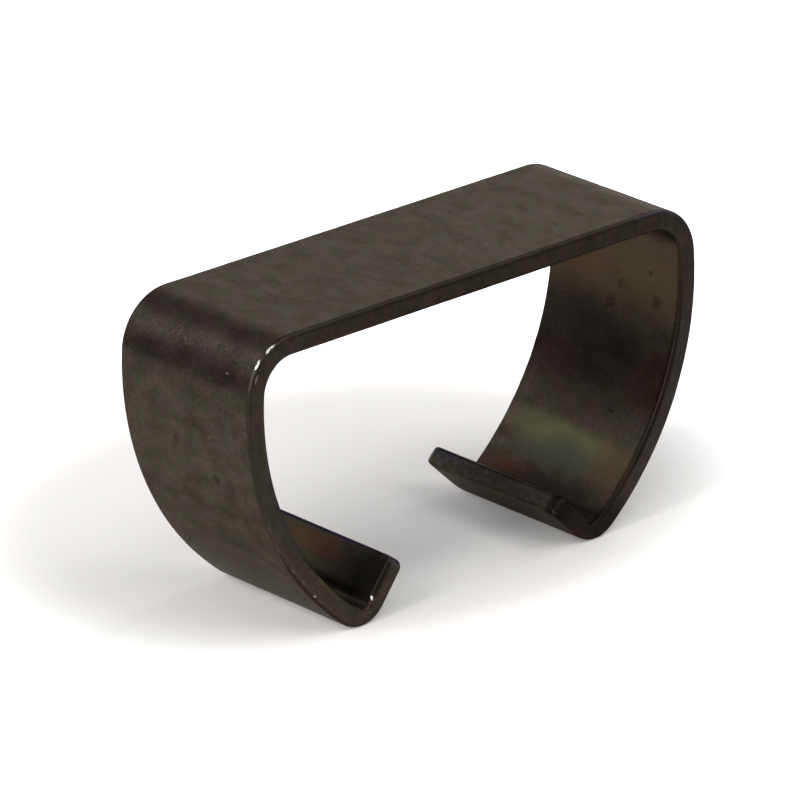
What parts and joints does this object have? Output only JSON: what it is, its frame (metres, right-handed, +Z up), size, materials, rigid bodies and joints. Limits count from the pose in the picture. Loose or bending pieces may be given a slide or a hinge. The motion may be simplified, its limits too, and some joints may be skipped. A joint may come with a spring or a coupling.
{
  "type": "spring clip",
  "caption": "Clip folded from a flat strip of spring steel, with a straight bar, bowed arms that close in below it and a short tab turned up inside each foot.",
  "frame": {"origin": "on the surface that the clip stands on, below the middle of the bar; the clip stands on its two foot bends", "axes": "+X along the bar, with the more open tab at the +X end; +Y across the strip; +Z up, from the feet to the bar"},
  "size_m": [0.0494, 0.016, 0.0275],
  "materials": {
    "steel": "oil-blackened spring steel, satin, with bare nicks on the edges"
  },
  "bodies": {
    "root": {"spring_clip": "steel"}
  },
  "joints": []
}
